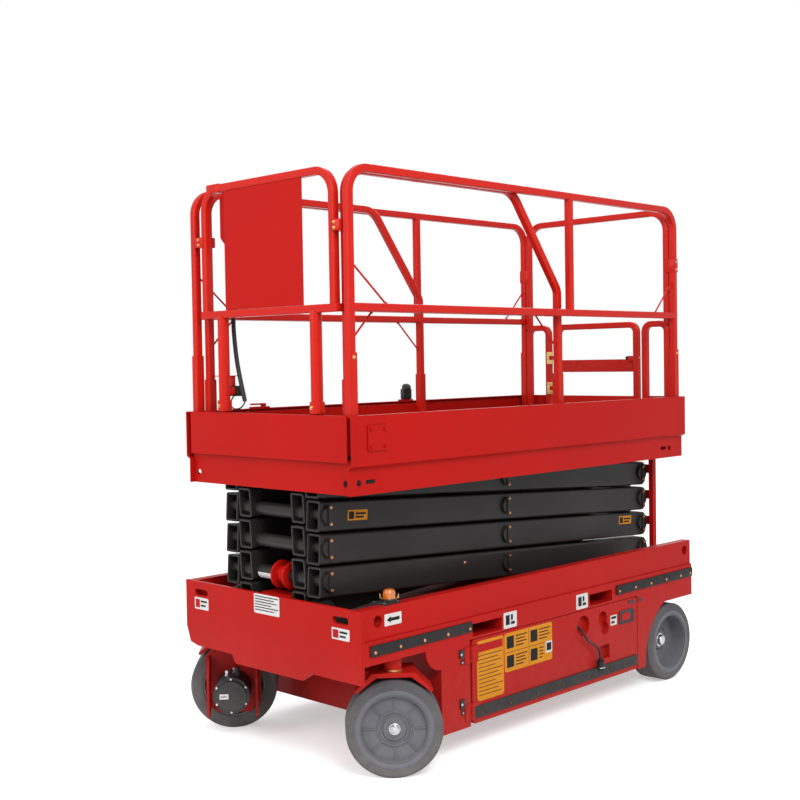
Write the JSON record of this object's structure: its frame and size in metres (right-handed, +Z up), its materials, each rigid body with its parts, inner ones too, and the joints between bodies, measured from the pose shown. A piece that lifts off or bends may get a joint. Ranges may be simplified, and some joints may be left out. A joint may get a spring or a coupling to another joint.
{
  "type": "electric scissor lift",
  "caption": "Self-propelled scissor lift with a stacked arm pack, guard rails, an entry gate, a sliding deck extension, swing-out side trays and steered solid wheels.",
  "frame": {"origin": "on the floor under the middle of the machine", "axes": "+X forward to the steered end, +Y to the machine's left side, +Z up"},
  "size_m": [2.342, 1.3372, 2.368],
  "materials": {
    "red_paint": "glossy paint",
    "black_paint": "satin paint",
    "black_steel": "semi-gloss paint",
    "grey_paint": "satin paint",
    "grey_tyre": "solid non-marking rubber",
    "black_rubber": "matte",
    "black_plastic": "matte",
    "amber_plastic": "clear amber",
    "chrome_rod": "polished",
    "gold_zinc": "yellow zinc plate"
  },
  "bodies": {
    "chassis": {"chassis_frame": "red_paint", "front_panel": "red_paint", "slide_tracks": "black_paint", "beacon_base": "black_plastic", "beacon_dome": "amber_plastic", "ladder": "red_paint", "front_cover": "red_paint"},
    "steer_left": {"yoke_left": "red_paint", "drive_motor_left": "black_steel"},
    "steer_right": {"yoke_right": "red_paint", "drive_motor_right": "black_steel"},
    "wheel_front_left": {"tyre_front_left": "grey_tyre", "rim_front_left": "grey_paint"},
    "wheel_front_right": {"tyre_front_right": "grey_tyre", "rim_front_right": "grey_paint"},
    "wheel_rear_left": {"tyre_rear_left": "grey_tyre", "rim_rear_left": "grey_paint"},
    "wheel_rear_right": {"tyre_rear_right": "grey_tyre", "rim_rear_right": "grey_paint"},
    "tie_rod": {"tie_rod": "black_steel"},
    "steer_barrel": {"steer_barrel": "black_steel"},
    "steer_rod": {"steer_rod": "chrome_rod"},
    "door_left": {"door_left": "red_paint", "battery_pack": "black_plastic", "charger_lead": "black_rubber", "charger_plug": "black_rubber"},
    "door_right": {"door_right": "red_paint", "hydraulic_unit": "black_steel"},
    "outer_1": {"outer_arms_1": "black_paint"},
    "inner_1": {"inner_arms_1": "black_paint", "cross_tubes_1": "black_paint"},
    "outer_2": {"outer_arms_2": "black_paint"},
    "inner_2": {"inner_arms_2": "black_paint", "cross_tubes_2": "black_paint", "tube_collar": "red_paint"},
    "outer_3": {"outer_arms_3": "black_paint"},
    "inner_3": {"inner_arms_3": "black_paint", "cross_tubes_3": "black_paint"},
    "outer_4": {"outer_arms_4": "black_paint"},
    "inner_4": {"inner_arms_4": "black_paint", "cross_tubes_4": "black_paint"},
    "platform": {"platform_deck": "red_paint", "platform_skirt": "red_paint", "rail_left": "red_paint", "rail_right": "red_paint", "rail_rear": "red_paint", "gate_hinge_leaves": "gold_zinc"},
    "gate": {"gate": "red_paint"},
    "extension": {"extension_deck": "red_paint", "extension_rail_left": "red_paint", "extension_rail_right": "red_paint", "extension_rail_front": "red_paint", "cover_panel": "red_paint", "control_box": "red_paint", "conduit": "black_plastic", "control_cable": "black_rubber"},
    "lift_barrel": {"lift_barrel": "black_steel"},
    "lift_rod": {"lift_rod": "chrome_rod"}
  },
  "joints": [
    {"name": "lift", "type": "hinge", "parent": "chassis", "child": "outer_1", "pos_m": [-1.105, 0, 0.62], "axis": [0, -1, 0], "range_deg": [0, 52.3]},
    {"name": "scissor_1", "type": "hinge", "parent": "outer_1", "child": "inner_1", "pos_m": [-0.00695, 0, 0.6855], "axis": [0, -1, 0], "range_deg": [-106, 1]},
    {"name": "rear_pin_1", "type": "hinge", "parent": "inner_1", "child": "outer_2", "pos_m": [-1.105, 0, 0.751], "axis": [0, -1, 0], "range_deg": [-1, 106]},
    {"name": "scissor_2", "type": "hinge", "parent": "outer_2", "child": "inner_2", "pos_m": [-0.00695, 0, 0.8165], "axis": [0, -1, 0], "range_deg": [-106, 1]},
    {"name": "rear_pin_2", "type": "hinge", "parent": "inner_2", "child": "outer_3", "pos_m": [-1.105, 0, 0.882], "axis": [0, -1, 0], "range_deg": [-1, 106]},
    {"name": "scissor_3", "type": "hinge", "parent": "outer_3", "child": "inner_3", "pos_m": [-0.00695, 0, 0.9475], "axis": [0, -1, 0], "range_deg": [-106, 1]},
    {"name": "rear_pin_3", "type": "hinge", "parent": "inner_3", "child": "outer_4", "pos_m": [-1.105, 0, 1.013], "axis": [0, -1, 0], "range_deg": [-1, 106]},
    {"name": "scissor_4", "type": "hinge", "parent": "outer_4", "child": "inner_4", "pos_m": [-0.00695, 0, 1.0785], "axis": [0, -1, 0], "range_deg": [-106, 1]},
    {"name": "platform_level", "type": "hinge", "parent": "inner_4", "child": "platform", "pos_m": [-1.105, 0, 1.144], "axis": [0, -1, 0], "range_deg": [-1, 54]},
    {"name": "lift_barrel_swing", "type": "hinge", "parent": "inner_1", "child": "lift_barrel", "pos_m": [0.98129, 0, 0.62655], "axis": [0, -1, 0], "range_deg": [-15, 1]},
    {"name": "lift_rod_stroke", "type": "slide", "parent": "lift_barrel", "child": "lift_rod", "axis": [-0.9917, 0, 0.1287], "range_m": [-0.01, 1.662]},
    {"name": "steer_left", "type": "hinge", "parent": "chassis", "child": "steer_left", "pos_m": [0.95, 0.5, 0.43], "axis": [0, 0, 1], "range_deg": [0, 84]},
    {"name": "steer_right", "type": "hinge", "parent": "chassis", "child": "steer_right", "pos_m": [0.95, -0.5, 0.43], "axis": [0, 0, 1], "range_deg": [-1, 85]},
    {"name": "tie_rod_swing", "type": "hinge", "parent": "steer_left", "child": "tie_rod", "pos_m": [1.02988, 0.39443, 0.42], "axis": [0, 0, 1], "range_deg": [-90, 1]},
    {"name": "steer_barrel_swing", "type": "hinge", "parent": "chassis", "child": "steer_barrel", "pos_m": [0.86, 0.06, 0.42], "axis": [0, 0, 1], "range_deg": [-5, 1]},
    {"name": "steer_rod_stroke", "type": "slide", "parent": "steer_barrel", "child": "steer_rod", "axis": [0.0305, -0.9995, 0], "range_m": [-0.005, 0.17]},
    {"name": "spin_front_left", "type": "hinge", "parent": "steer_left", "child": "wheel_front_left", "pos_m": [0.95, 0.5, 0.1905], "axis": [0.6691, 0.7431, 0], "continuous": true},
    {"name": "spin_front_right", "type": "hinge", "parent": "steer_right", "child": "wheel_front_right", "pos_m": [0.95, -0.5, 0.1905], "axis": [0.6691, 0.7431, 0], "continuous": true},
    {"name": "spin_rear_left", "type": "hinge", "parent": "chassis", "child": "wheel_rear_left", "pos_m": [-0.965, 0.489, 0.1905], "axis": [0, 1, 0], "continuous": true},
    {"name": "spin_rear_right", "type": "hinge", "parent": "chassis", "child": "wheel_rear_right", "pos_m": [-0.965, -0.489, 0.1905], "axis": [0, 1, 0], "continuous": true},
    {"name": "door_left", "type": "hinge", "parent": "chassis", "child": "door_left", "pos_m": [0.547, 0.557, 0.29], "axis": [0, 0, -1], "range_deg": [0, 90]},
    {"name": "door_right", "type": "hinge", "parent": "chassis", "child": "door_right", "pos_m": [0.547, -0.557, 0.29], "axis": [0, 0, 1], "range_deg": [0, 90]},
    {"name": "extension_slide", "type": "slide", "parent": "platform", "child": "extension", "axis": [1, 0, 0], "range_m": [0, 0.9]},
    {"name": "gate", "type": "hinge", "parent": "platform", "child": "gate", "pos_m": [-1.114, -0.28, 1.5], "axis": [0, 0, -1], "range_deg": [0, 90]}
  ],
  "couplings": [
    {"joint": "scissor_1", "follows": "lift", "ratio": -2},
    {"joint": "rear_pin_1", "follows": "lift", "ratio": 2},
    {"joint": "scissor_2", "follows": "lift", "ratio": -2},
    {"joint": "rear_pin_2", "follows": "lift", "ratio": 2},
    {"joint": "scissor_3", "follows": "lift", "ratio": -2},
    {"joint": "rear_pin_3", "follows": "lift", "ratio": 2},
    {"joint": "scissor_4", "follows": "lift", "ratio": -2},
    {"joint": "platform_level", "follows": "lift", "ratio": 1},
    {"joint": "lift_barrel_swing", "follows": "lift", "ratio": -0.24683},
    {"joint": "lift_rod_stroke", "follows": "lift", "m_per_rad": 1.7984},
    {"joint": "steer_right", "follows": "steer_left", "ratio": 1},
    {"joint": "tie_rod_swing", "follows": "steer_left", "ratio": -1.0474},
    {"joint": "steer_barrel_swing", "follows": "steer_left", "ratio": -0.034534},
    {"joint": "steer_rod_stroke", "follows": "steer_left", "m_per_rad": 0.10948}
  ]
}
